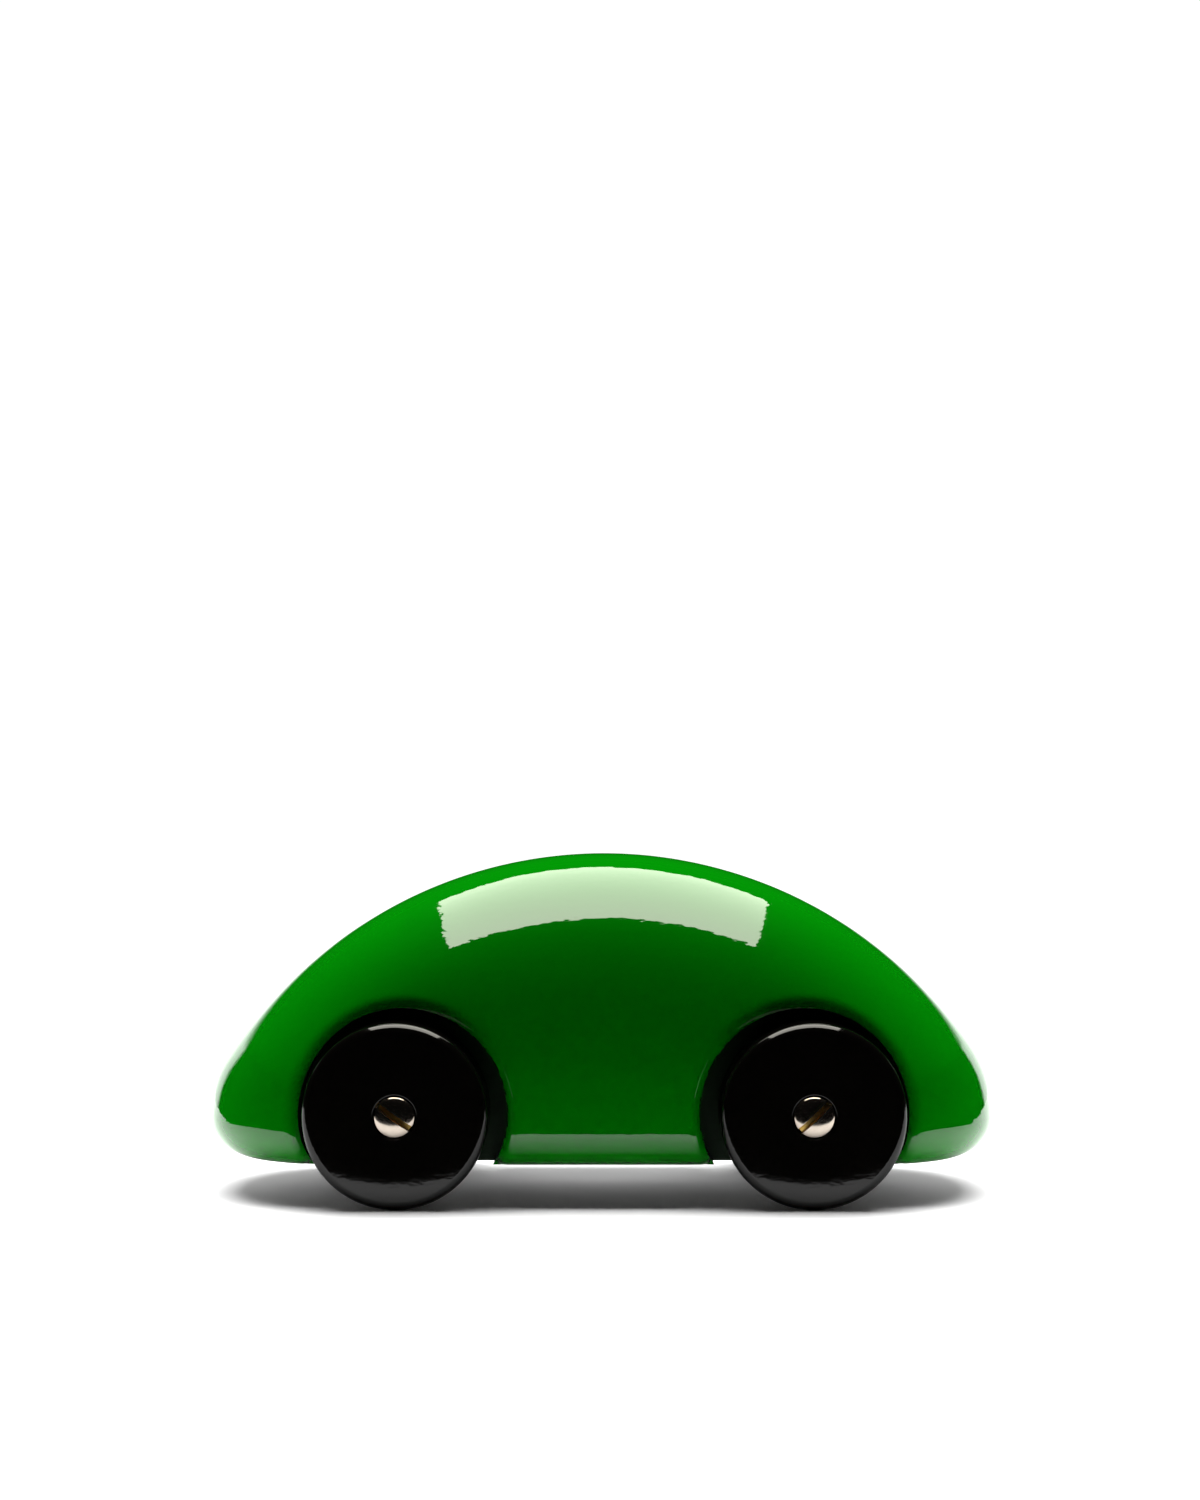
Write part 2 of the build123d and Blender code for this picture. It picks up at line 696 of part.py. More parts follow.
def make_winding_pin():
    """Headed pin that carries both idlers and slides with the output one."""
    head_y = input_gear_y - gear_side_play
    pin = rod(*winding_place, head_y, case_half_width - running_clearance, pin_radius)
    return one_solid(pin + rod(*winding_place, head_y - pin_head_height, head_y, pin_head_diameter / 2))


def make_arbor():
    """Shaft of the mainspring, with the spool that its inner end hooks on."""
    shaft_end = case_half_width - running_clearance
    shaft = rod(*arbor_place, -shaft_end, shaft_end, arbor_diameter / 2)
    spool_y = (barrel_floor - case_inner + gear_side_play, barrel_end_y - gear_side_play)
    return one_solid(shaft + rod(*arbor_place, *spool_y, spool_diameter / 2))


def make_barrel():
    """Cup around the mainspring, pressed into the case."""
    cup = tube(*arbor_place, -case_inner, barrel_end_y, barrel_radius, barrel_radius - barrel_wall)
    floor_y = (-case_inner, barrel_floor - case_inner)
    floor = tube(*arbor_place, *floor_y, barrel_radius, arbor_diameter / 2 + hub_wall)
    return one_solid(cup + floor)


def make_mainspring():
    """Flat steel ribbon wound in an even spiral from the spool to the barrel."""
    first = spool_diameter / 2 + running_clearance
    last = barrel_radius - barrel_wall - gear_side_play - ribbon_thickness
    count = 14 * ribbon_turns
    inner = []
    outer = []
    for step in range(count + 1):
        radius = first + (last - first) * step / count
        angle = 2 * pi * ribbon_turns * step / count
        inner.append(polar(radius, angle))
        outer.append(polar(radius + ribbon_thickness, angle))
    edges = [Spline(*inner), Line(inner[-1], outer[-1]), Spline(*reversed(outer)), Line(outer[0], inner[0])]
    ribbon = extrude(Plane.XZ * make_face(edges), amount=ribbon_width, dir=(0, 1, 0))
    middle = (barrel_floor - case_inner + barrel_end_y) / 2
    return one_solid(Pos(arbor_place[0], middle - ribbon_width / 2, arbor_place[1]) * ribbon)


# ---------------------------------------------------------------- export

os.makedirs("parts", exist_ok=True)

save("body", make_body())
save("bottom_cover", make_cover())
save("cover_screws", *[make_wood_screw(x, y, body_bottom, 40 * x) for x, y in cover_screw_places])

for end, axle_x in (("rear", rear_axle_x), ("front", front_axle_x)):
    for hand, side in (("right", -1), ("left", 1)):
        save(f"wheel_{end}_{hand}", make_wheel(axle_x, side))
        save(f"wheel_screw_{end}_{hand}", make_wheel_screw(f"{end}_{hand}", axle_x, side))

save("front_axle", make_axle(front_axle_x))
save("drive_axle", make_axle(rear_axle_x))
for hand, side in (("right", -1), ("left", 1)):
    save(f"front_bush_{hand}", make_bush(side))
    save(f"front_washer_{hand}", make_washer(side))
    save(f"rear_sleeve_{hand}", make_sleeve(side))
    save(f"motor_bearing_{hand}", make_bearing(side))

save("motor_case", make_case())
save("motor_lid", make_lid())
save("motor_case_screws", *[make_case_screw(x, z, 25 * z) for x, z in case_posts])
save("motor_mount_screws", *[make_wood_screw(x, 0, case_floor_z, 30 * x) for x in ear_screw_x])
save("axle_gears", make_axle_gears())
save("drive_gear", make_drive_gear())
save("drive_pinion", make_drive_pinion())
save("drive_pin", rod(*drive_place, -case_half_width, case_half_width, pin_radius))
save("spring_arbor", make_arbor())
save("spring_gear", make_spring_gear())
save("winding_gear", make_winding_gear())
save("mainspring", make_mainspring())
save("spring_barrel", make_barrel())
save("winding_pin", make_winding_pin())
save("winding_input_idler", make_input_idler())
save("winding_output_idler", make_output_idler())
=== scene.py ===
from math import atan2, copysign, cos, hypot, pi, radians, sin, sqrt

import bmesh
import bpy
from mathutils import Matrix, Vector


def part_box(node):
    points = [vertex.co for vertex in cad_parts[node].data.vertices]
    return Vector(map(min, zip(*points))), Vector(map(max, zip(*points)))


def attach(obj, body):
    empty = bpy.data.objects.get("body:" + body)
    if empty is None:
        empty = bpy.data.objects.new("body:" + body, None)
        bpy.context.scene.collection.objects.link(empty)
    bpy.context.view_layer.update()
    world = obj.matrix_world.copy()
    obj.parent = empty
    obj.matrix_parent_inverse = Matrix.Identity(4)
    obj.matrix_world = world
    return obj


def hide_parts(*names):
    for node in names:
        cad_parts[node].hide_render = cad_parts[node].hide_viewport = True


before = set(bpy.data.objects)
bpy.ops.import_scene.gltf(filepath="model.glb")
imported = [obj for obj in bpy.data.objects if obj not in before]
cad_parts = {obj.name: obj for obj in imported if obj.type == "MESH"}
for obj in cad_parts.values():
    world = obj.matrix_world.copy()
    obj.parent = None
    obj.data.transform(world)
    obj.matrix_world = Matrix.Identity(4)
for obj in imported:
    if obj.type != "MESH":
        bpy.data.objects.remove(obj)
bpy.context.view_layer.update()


# ---------------------------------------------------------------- studio
# White paper on a table, seen only from above, in two sheets that meet just ahead
# of the car. One wide softbox hangs overhead and is seen only in reflections. The
# back lamp lights the paper alone. The room is dark in front and bright behind.

def make_mesh(name, points, faces, materials):
    """An object from points and faces, linked to the scene."""
    mesh = bpy.data.meshes.new(name)
    mesh.from_pydata(points, [], faces)
    for material in materials:
        mesh.materials.append(material)
    thing = bpy.data.objects.new(name, mesh)
    bpy.context.scene.collection.objects.link(thing)
    return thing


def new_material(name):
    """A node material with only its output node."""
    material = bpy.data.materials.new(name)
    material.use_nodes = True
    material.node_tree.nodes.clear()
    output = material.node_tree.nodes.new("ShaderNodeOutputMaterial")
    return material, material.node_tree, output


def rectangle(name, x0, x1, y0, y1, z, material):
    """A flat sheet facing up."""
    corners = [(x0, y0, z), (x1, y0, z), (x1, y1, z), (x0, y1, z)]
    return make_mesh(name, corners, [(0, 1, 2, 3)], [material])


def paper(name, shade):
    """Matt white paper with a faint drift of tone, clear when seen from below."""
    material, tree, output = new_material(name)
    warm = 0.985
    shader = tree.nodes.new("ShaderNodeBsdfDiffuse")
    fibre = tree.nodes.new("ShaderNodeTexNoise")
    fibre.inputs["Scale"].default_value = 35
    tint = tree.nodes.new("ShaderNodeMix")
    tint.data_type = "RGBA"
    tint.inputs["A"].default_value = (shade, shade, shade, 1)
    tint.inputs["B"].default_value = (shade * warm, shade * warm, shade * 0.98, 1)
    place = tree.nodes.new("ShaderNodeTexCoord")
    tree.links.new(place.outputs["Object"], fibre.inputs["Vector"])
    tree.links.new(fibre.outputs["Fac"], tint.inputs["Factor"])
    tree.links.new(tint.outputs["Result"], shader.inputs["Color"])
    facing = tree.nodes.new("ShaderNodeNewGeometry")
    clear = tree.nodes.new("ShaderNodeBsdfTransparent")
    one_way = tree.nodes.new("ShaderNodeMixShader")
    tree.links.new(facing.outputs["Backfacing"], one_way.inputs["Fac"])
    tree.links.new(shader.outputs["BSDF"], one_way.inputs[1])
    tree.links.new(clear.outputs["BSDF"], one_way.inputs[2])
    tree.links.new(one_way.outputs["Shader"], output.inputs["Surface"])
    return material


sheet_edge = -0.080
sheet_side = 0.6
sheet_end = 0.5
sheet_paper = paper("sheet paper", 0.92)
table_sheet = rectangle("table_sheet", -sheet_side, sheet_side, sheet_edge, sheet_end, 0, sheet_paper)
front_sheet = rectangle("front_sheet", -sheet_side, sheet_side, -sheet_end, sheet_edge, 0, sheet_paper)
front_sheet.visible_glossy = False
front_sheet.visible_diffuse = False

softbox_glow, tree, output = new_material("softbox glow")
emission = tree.nodes.new("ShaderNodeEmission")
place = tree.nodes.new("ShaderNodeTexCoord")
split = tree.nodes.new("ShaderNodeSeparateXYZ")
fade = tree.nodes.new("ShaderNodeMapRange")
fade.inputs["From Min"].default_value = -0.25
fade.inputs["From Max"].default_value = 0.33
fade.inputs["To Min"].default_value = 11.0
fade.inputs["To Max"].default_value = 8.5
emission.inputs["Color"].default_value = (1, 0.97, 0.87, 1)
tree.links.new(place.outputs["Object"], split.inputs["Vector"])
tree.links.new(split.outputs["Y"], fade.inputs["Value"])
tree.links.new(fade.outputs["Result"], emission.inputs["Strength"])
tree.links.new(emission.outputs["Emission"], output.inputs["Surface"])
roof_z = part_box("body")[1][2]
hang = 0.5
front_half = 0.255
back_half = 0.285
front_y = -0.245
back_y = 0.34
corners = [(-front_half, front_y), (front_half, front_y), (back_half, back_y), (-back_half, back_y)]
softbox_points = [(x, y, roof_z + hang) for x, y in corners]
softbox = make_mesh("softbox", softbox_points, [(0, 1, 2, 3)], [softbox_glow])
softbox.visible_camera = False
softbox.visible_diffuse = False
softbox.visible_shadow = False
softbox.visible_transmission = False

key = bpy.data.lights.new("key", "AREA")
key.shape = "RECTANGLE"
key.size = 1.3
key.size_y = 0.8
key.energy = 36
key_lamp = bpy.data.objects.new("key_lamp", key)
key_lamp.location = (0, 0.32, 1.0)
key_lamp.visible_glossy = False
key_lamp.visible_camera = False
bpy.context.scene.collection.objects.link(key_lamp)

rim = bpy.data.lights.new("back", "AREA")
rim.shape = "RECTANGLE"
rim.size = 1.8
rim.size_y = 0.35
rim.energy = 22
rim_lamp = bpy.data.objects.new("back_lamp", rim)
rim_lamp.location = (0, 1.0, 0.22)
rim_lamp.rotation_euler = (radians(-78), 0, 0)
rim_lamp.visible_glossy = False
rim_lamp.visible_camera = False
bpy.context.scene.collection.objects.link(rim_lamp)
lit_floor = bpy.data.collections.new("lit floor")
for sheet in (table_sheet, front_sheet):
    lit_floor.objects.link(sheet)
rim_lamp.light_linking.receiver_collection = lit_floor

world = bpy.data.worlds.new("room")
bpy.context.scene.world = world
world.use_nodes = True
room = world.node_tree
room.nodes.clear()
room_out = room.nodes.new("ShaderNodeOutputWorld")
path = room.nodes.new("ShaderNodeLightPath")
where = room.nodes.new("ShaderNodeTexCoord")
split = room.nodes.new("ShaderNodeSeparateXYZ")
room.links.new(where.outputs["Generated"], split.inputs["Vector"])


def ramp(value, near, far, at_near, at_far):
    """A smooth step of a world value."""
    step = room.nodes.new("ShaderNodeMapRange")
    step.interpolation_type = "SMOOTHSTEP"
    step.inputs["From Min"].default_value = near
    step.inputs["From Max"].default_value = far
    step.inputs["To Min"].default_value = at_near
    step.inputs["To Max"].default_value = at_far
    room.links.new(value, step.inputs["Value"])
    return step.outputs["Result"]


def combine(operation, first, second):
    """A sum, product or other pair of world values; the second may be a number."""
    node = room.nodes.new("ShaderNodeMath")
    node.operation = operation
    room.links.new(first, node.inputs[0])
    if isinstance(second, float):
        node.inputs[1].default_value = second
    else:
        room.links.new(second, node.inputs[1])
    return node.outputs["Value"]


def choose(picker, otherwise, chosen):
    """One world value or, for the rays the picker marks, another."""
    node = room.nodes.new("ShaderNodeMix")
    node.data_type = "FLOAT"
    room.links.new(picker, node.inputs["Factor"])
    room.links.new(otherwise, node.inputs["A"])
    if isinstance(chosen, float):
        node.inputs["B"].default_value = chosen
    else:
        room.links.new(chosen, node.inputs["B"])
    return node.outputs["Result"]


wall_slope = 0.36
wall_level = 2.2
dark_level = 0.004
backdrop_level = 1.05
sideways = combine("ABSOLUTE", split.outputs["X"], 0.0)
lift = combine("SUBTRACT", split.outputs["Z"], combine("MULTIPLY", sideways, wall_slope))
back_wall = ramp(split.outputs["Y"], 0.70, 0.77, 0.0, wall_level)
low_part = ramp(lift, -0.02, 0.10, 1.0, 0.0)
wall = combine("MULTIPLY", back_wall, low_part)
glints = combine("ADD", wall, dark_level)
fill = ramp(split.outputs["Y"], 0.0, 0.95, 0.02, 0.9)
unseen = choose(path.outputs["Is Glossy Ray"], fill, glints)
level = choose(path.outputs["Is Camera Ray"], unseen, backdrop_level)
background = room.nodes.new("ShaderNodeBackground")
background.inputs["Color"].default_value = (1, 1, 1, 1)
room.links.new(level, background.inputs["Strength"])
room.links.new(background.outputs["Background"], room_out.inputs["Surface"])

lens = bpy.data.cameras.new("lens")
lens.sensor_width = 36
lens.lens = 65.63
lens.shift_x = -0.001
lens.shift_y = 0.01227
camera = bpy.data.objects.new("camera", lens)
camera.location = (0, -0.598, 0.091)
camera.rotation_euler = (radians(90), 0, 0)
bpy.context.scene.collection.objects.link(camera)
bpy.context.scene.camera = camera
bpy.context.scene.view_settings.view_transform = "Standard"


# ---------------------------------------------------------------- body
# One block of hardwood, shaped as a fan of arches over a flat underside, sanded
# and dipped in thick gloss lacquer. The lacquer has flowed: its surface is faintly
# wavy and softens every edge. In the milled wheel wells and pockets it is rougher
# and duller, and its green is painted near black as the shade deep inside them.

def effect(name, inputs, outputs):
    """A node group with float, colour or vector sockets."""
    kinds = {"value": "NodeSocketFloat", "colour": "NodeSocketColor", "vector": "NodeSocketVector"}
    group = bpy.data.node_groups.new(name, "ShaderNodeTree")
    for label, kind, default in inputs:
        socket = group.interface.new_socket(label, in_out="INPUT", socket_type=kinds[kind])
        socket.default_value = default
    for label, kind in outputs:
        group.interface.new_socket(label, in_out="OUTPUT", socket_type=kinds[kind])
    return group, group.nodes.new("NodeGroupInput"), group.nodes.new("NodeGroupOutput")


def flow_effect():
    """Flowed lacquer: long waves and a fine orange peel, as a normal."""
    sizes = [("Wave scale", "value", 55), ("Wave height", "value", 0.00006),
             ("Peel scale", "value", 420), ("Peel height", "value", 0.000004)]
    group, given, result = effect("Flowed lacquer", sizes, [("Normal", "vector")])
    place = group.nodes.new("ShaderNodeTexCoord")
    drawn = group.nodes.new("ShaderNodeMapping")
    drawn.inputs["Scale"].default_value = (0.45, 1, 1)
    group.links.new(place.outputs["Object"], drawn.inputs["Vector"])
    normal = None
    for kind in ("Wave", "Peel"):
        noise = group.nodes.new("ShaderNodeTexNoise")
        noise.inputs["Detail"].default_value = 1
        bump = group.nodes.new("ShaderNodeBump")
        group.links.new(drawn.outputs["Vector"], noise.inputs["Vector"])
        group.links.new(given.outputs[f"{kind} scale"], noise.inputs["Scale"])
        group.links.new(given.outputs[f"{kind} height"], bump.inputs["Distance"])
        group.links.new(noise.outputs["Fac"], bump.inputs["Height"])
        if normal:
            group.links.new(normal, bump.inputs["Normal"])
        normal = bump.outputs["Normal"]
    group.links.new(normal, result.inputs["Normal"])
    return group


def tone_effect():
    """Two colours drifting into each other, with fine streaks along the car."""
    sizes = [("First", "colour", (0, 0, 0, 1)), ("Second", "colour", (0, 0, 0, 1)),
             ("Scale", "value", 20), ("Streak", "value", 0.2)]
    group, given, result = effect("Tone drift", sizes, [("Colour", "colour")])
    place = group.nodes.new("ShaderNodeTexCoord")
    drift = group.nodes.new("ShaderNodeTexNoise")
    stretch = group.nodes.new("ShaderNodeMapping")
    stretch.inputs["Scale"].default_value = (40, 900, 900)
    streak = group.nodes.new("ShaderNodeTexNoise")
    streak.inputs["Scale"].default_value = 1
    blend = group.nodes.new("ShaderNodeMix")
    blend.data_type = "FLOAT"
    colour = group.nodes.new("ShaderNodeMix")
    colour.data_type = "RGBA"
    group.links.new(place.outputs["Object"], drift.inputs["Vector"])
    group.links.new(given.outputs["Scale"], drift.inputs["Scale"])
    group.links.new(place.outputs["Object"], stretch.inputs["Vector"])
    group.links.new(stretch.outputs["Vector"], streak.inputs["Vector"])
    group.links.new(given.outputs["Streak"], blend.inputs["Factor"])
    group.links.new(drift.outputs["Fac"], blend.inputs["A"])
    group.links.new(streak.outputs["Fac"], blend.inputs["B"])
    group.links.new(blend.outputs["Result"], colour.inputs["Factor"])
    group.links.new(given.outputs["First"], colour.inputs["A"])
    group.links.new(given.outputs["Second"], colour.inputs["B"])
    group.links.new(colour.outputs["Result"], result.inputs["Colour"])
    return group


flowed_lacquer = flow_effect()
tone_drift = tone_effect()


def finish_material(name, first, second, scale, streak, roughness, metallic=0.0):
    """A Principled material with drifting tone; returns it with its shader and tree."""
    material, tree, output = new_material(name)
    shader = tree.nodes.new("ShaderNodeBsdfPrincipled")
    tone = tree.nodes.new("ShaderNodeGroup")
    tone.node_tree = tone_drift
    tone.inputs["First"].default_value = (*first, 1)
    tone.inputs["Second"].default_value = (*second, 1)
    tone.inputs["Scale"].default_value = scale
    tone.inputs["Streak"].default_value = streak
    shader.inputs["Roughness"].default_value = roughness
    shader.inputs["Metallic"].default_value = metallic
    tree.links.new(tone.outputs["Colour"], shader.inputs["Base Color"])
    tree.links.new(shader.outputs["BSDF"], output.inputs["Surface"])
    return material, shader, tree, tone


def add_flow(tree, shader, wave_scale, wave_height, peel_scale, peel_height):
    """Gives a shader the flowed lacquer normal."""
    flow = tree.nodes.new("ShaderNodeGroup")
    flow.node_tree = flowed_lacquer
    flow.inputs["Wave scale"].default_value = wave_scale
    flow.inputs["Wave height"].default_value = wave_height
    flow.inputs["Peel scale"].default_value = peel_scale
    flow.inputs["Peel height"].default_value = peel_height
    tree.links.new(flow.outputs["Normal"], shader.inputs["Normal"])


green_lacquer, shader, tree, tone = finish_material(
    "green lacquer", (0.0, 0.160, 0.0004), (0.0005, 0.185, 0.0012), 22, 0.35, 0.03)
shader.inputs["IOR"].default_value = 1.5
bounce = tree.nodes.new("ShaderNodeLightPath")
muted = tree.nodes.new("ShaderNodeMix")
muted.data_type = "RGBA"
muted.inputs["B"].default_value = (0.035, 0.04, 0.035, 1)
tree.links.new(bounce.outputs["Is Diffuse Ray"], muted.inputs["Factor"])
tree.links.new(tone.outputs["Colour"], muted.inputs["A"])
tree.links.new(muted.outputs["Result"], shader.inputs["Base Color"])
add_flow(tree, shader, 75, 0.00012, 800, 0.000016)

# Wells and pockets: the green made rougher and duller, with its colour painted near black as the shade
# that falls deep inside them.
well_painted_shade, shader, tree, tone = finish_material(
    "well lacquer painted shade", (0.001, 0.012, 0.001), (0.001, 0.030, 0.002), 500, 0.5, 0.5)
shader.inputs["Specular IOR Level"].default_value = 0.2
add_flow(tree, shader, 900, 0.00004, 2500, 0.00001)

low_corner, high_corner = [Vector(corner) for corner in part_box("body")]
body_length = 0.170
body_top = high_corner.z
body_bottom = low_corner.z
half_width = high_corner.y
end_radius = 0.025
sill = 0.008
waist = body_bottom + sill
crown_height = body_top - waist
end_reach = body_length / 2
arc_height = 2 * (crown_height - end_radius)
roof_radius = (crown_height ** 2 + end_reach ** 2 - 2 * end_radius * end_reach) / arc_height
hub_x = 0.0005
hub_z = body_top - roof_radius
waist_rise = waist - hub_z
roof_crown = 0.049
nose_crown = 0.029
crown_power = 2.15


def outline_radius(theta, reach):
    """Distance from the hub to the side outline."""
    radius = (roof_radius ** 2 - reach ** 2 - waist_rise ** 2) / (2 * (roof_radius - reach))
    centre = reach - radius
    if theta >= atan2(waist_rise, centre):
        return roof_radius
    if theta <= atan2(waist_rise, reach):
        return reach / cos(theta)
    across = centre * sin(theta) - waist_rise * cos(theta)
    return centre * cos(theta) + waist_rise * sin(theta) + sqrt(radius ** 2 - across ** 2)


def flank_radius(theta):
    """Distance from the hub to where the flat flank ends."""
    long = body_length / 2 - nose_crown
    short = body_top - waist - roof_crown
    if theta <= atan2(waist_rise, long):
        return long / cos(theta)
    spread = (cos(theta) / long) ** 2 + (sin(theta) / short) ** 2
    lean = sin(theta) * waist_rise / short ** 2
    return (lean + sqrt(lean ** 2 - spread * ((waist_rise / short) ** 2 - 1))) / spread


def skin_point(angle, rise, across):
    """A point of the upper skin, from its fan angle and its place along the arch."""
    theta = min(angle, pi - angle)
    reach = body_length / 2 + (-hub_x if angle <= pi / 2 else hub_x)
    flank = flank_radius(theta)
    up = flank + (outline_radius(theta, reach) - flank) * rise
    return Vector((hub_x + up * cos(angle), half_width * across, hub_z + up * sin(angle)))


def waist_angle(rise, across, front):
    """The fan angle at which an arch line comes down to the waist."""
    halvings = 50
    near, far = radians(5), radians(60)
    for step in range(halvings):
        middle = (near + far) / 2
        point = skin_point(middle if front else pi - middle, rise, across)
        near, far = (middle, far) if point.z < waist else (near, middle)
    return middle if front else pi - middle


def body_skin(columns, rows, flank_rows, sill_rows):
    """Points and faces of the closed body before milling, with rows crowded at the ends."""
    crowding = 0.70
    same_place = 1e-7
    points, faces = [], []
    for column in range(columns + 1):
        turn = pi * (column / columns - 0.5)
        rise = max(cos(turn), 0) ** (2 / crown_power) if 0 < column < columns else 0
        across = copysign(abs(sin(turn)) ** (2 / crown_power), turn)
        start = waist_angle(rise, across, True)
        end = waist_angle(rise, across, False)
        for row in range(rows + 1):
            part = row / rows - crowding * sin(2 * pi * row / rows) / (2 * pi)
            points.append(skin_point(start + (end - start) * part, rise, across))
    line = rows + 1
    for column in range(columns):
        for row in range(rows):
            corner = column * line + row
            faces.append((corner, corner + line, corner + line + 1, corner + 1))
    edges = {}
    for column in (0, columns):
        above = list(range(column * line, column * line + line))
        for step in range(1, flank_rows + 1):
            below = [above[0]]
            for row in range(1, rows):
                top = points[column * line + row]
                below.append(len(points))
                points.append(Vector((top.x, top.y, top.z + (waist - top.z) * step / flank_rows)))
            below.append(above[-1])
            for row in range(rows):
                corners = [above[row], above[row + 1], below[row + 1], below[row]]
                corners = tuple(dict.fromkeys(corners if column == 0 else reversed(corners)))
                faces.append(corners)
            above = below
        edges[column] = above
    ring = [column * line for column in range(columns)] + edges[columns]
    ring += [column * line + rows for column in reversed(range(columns))] + list(reversed(edges[0][1:-1]))
    count = len(ring)
    normals = []
    for place, index in enumerate(ring):
        along = points[ring[(place + 1) % count]] - points[ring[place - 1]]
        normal = Vector((along.y, -along.x, 0)).normalized()
        if abs(abs(points[index].y) - half_width) < same_place:
            normal = Vector((0, copysign(1, points[index].y), 0))
        normals.append(normal)
    above = ring
    for step in range(1, sill_rows + 1):
        turn = pi / 2 * step / sill_rows
        first = len(points)
        for index, normal in zip(ring, normals):
            point = points[index] - normal * sill * (1 - cos(turn))
            point.z = waist - sill * sin(turn)
            points.append(point)
        below = list(range(first, first + count))
        for place in range(count):
            after = (place + 1) % count
            faces.append((above[place], below[place], below[after], above[after]))
        above = below
    faces.append(tuple(reversed(above)))
    return points, faces


def tidy_shading(thing, angle):
    """Smooth faces with sharp edges where they meet at more than the angle."""
    shape = bmesh.new()
    shape.from_mesh(thing.data)
    bmesh.ops.recalc_face_normals(shape, faces=shape.faces)
    for face in shape.faces:
        face.smooth = True
    for edge in shape.edges:
        edge.smooth = len(edge.link_faces) == 2 and edge.calc_face_angle() < radians(angle)
    shape.to_mesh(thing.data)
    shape.free()


def cylinder(name, radius, y0, y1, x, z, segments, material):
    """A closed cylinder along Y."""
    points, faces = [], []
    for y in (y0, y1):
        for step in range(segments):
            turn = 2 * pi * step / segments
            points.append((x + radius * cos(turn), y, z + radius * sin(turn)))
    for step in range(segments):
        after = (step + 1) % segments
        faces.append((step, after, segments + after, segments + step))
    faces.append(tuple(reversed(range(segments))))
    faces.append(tuple(range(segments, 2 * segments)))
    made = make_mesh(name, points, faces, [material])
    tidy_shading(made, 40)
    return made


def box_shape(name, low_corner, top_corner, material):
    """A closed box."""
    (x0, y0, z0), (x1, y1, z1) = low_corner, top_corner
    points = [(x, y, z) for x in (x0, x1) for y in (y0, y1) for z in (z0, z1)]
    faces = [(0, 1, 3, 2), (4, 6, 7, 5), (0, 4, 5, 1), (2, 3, 7, 6), (0, 2, 6, 4), (1, 5, 7, 3)]
    return make_mesh(name, points, faces, [material])


def cut(target, cutters):
    """Takes closed cutters away from a closed mesh and keeps the result."""
    for cutter in cutters:
        modifier = target.modifiers.new("cut", "BOOLEAN")
        modifier.operation = "DIFFERENCE"
        modifier.solver = "EXACT"
        modifier.material_mode = "TRANSFER"
        modifier.object = cutter
        bpy.context.view_layer.update()
        shown = target.evaluated_get(bpy.context.evaluated_depsgraph_get())
        mesh = bpy.data.meshes.new_from_object(shown)
        target.modifiers.clear()
        target.data = mesh
        bpy.data.objects.remove(cutter)


def grow(node, gap):
    """The CAD box of a node, larger all round by a gap."""
    near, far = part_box(node)
    return [value - gap for value in near], [value + gap for value in far]


def round_over(thing, centres, width):
    """Lets the skin fall away round each well's mouth, as a sanded and lacquered edge does."""
    shape = bmesh.new()
    shape.from_mesh(thing.data)
    bmesh.ops.recalc_face_normals(shape, faces=shape.faces)
    shape.normal_update()
    moves = []
    for point in shape.verts:
        for x in centres:
            gap = hypot(point.co.x - x, point.co.z - axle_z) - well_radius
            inside = min(max(1 - gap / width, 0), 1)
            if inside and abs(point.co.y) > web and point.co.z > body_bottom + 1e-6:
                moves.append((point, point.normal * width * (1 - sqrt(1 - inside ** 2))))
    for point, move in moves:
        point.co -= move
    shape.to_mesh(thing.data)
    shape.free()


def soften(thing, width, segments):
    """Rounds the edges between faces of different materials."""
    shape = bmesh.new()
    shape.from_mesh(thing.data)
    bmesh.ops.remove_doubles(shape, verts=shape.verts, dist=1e-6)
    edges = [edge for edge in shape.edges if len(edge.link_faces) == 2
             and edge.link_faces[0].material_index != edge.link_faces[1].material_index]
    bmesh.ops.bevel(shape, geom=edges, offset=width, segments=segments, profile=0.5,
                    affect="EDGES", clamp_overlap=True, material=0)
    shape.to_mesh(thing.data)
    shape.free()


points, faces = body_skin(columns=110, rows=330, flank_rows=8, sill_rows=12)
body = make_mesh("lacquered_body", points, faces, [green_lacquer])
wheel_low, wheel_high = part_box("wheel_front_right")
axle_z = (wheel_low[2] + wheel_high[2]) / 2
wheel_radius = (wheel_high[2] - wheel_low[2]) / 2
wheel_places = {
    end: (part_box(f"wheel_{end}_right")[0][0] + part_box(f"wheel_{end}_right")[1][0]) / 2
    for end in ("rear", "front")
}
well_gap = 0.0025
well_radius = wheel_radius + well_gap
web = 0.019
beyond = 0.05
mouth_round = 0.0026
well_places = [wheel_places["rear"] + 0.0013, wheel_places["front"] - 0.0016]
round_over(body, well_places, mouth_round)
cutters = []
for x in well_places:
    for side in (-1, 1):
        ends = sorted((side * web, side * beyond))
        cutters.append(cylinder("well", well_radius, *ends, x, axle_z, 200, well_painted_shade))
cut(body, cutters)
case_low, case_top = grow("motor_case", 0.0006)
pocket_half = 0.0136
case_low[1], case_top[1] = -pocket_half, pocket_half
case_low[2] = 0
cover_low, cover_top = grow("bottom_cover", 0.00025)
cover_low[2] = 0
cover_top[2] -= 0.0002
bush_radius = 0.00525
slot_half = 0.0065
mouth_half = 0.02
bore_sides = 48
rear_x = wheel_places["rear"]
front_x = wheel_places["front"]
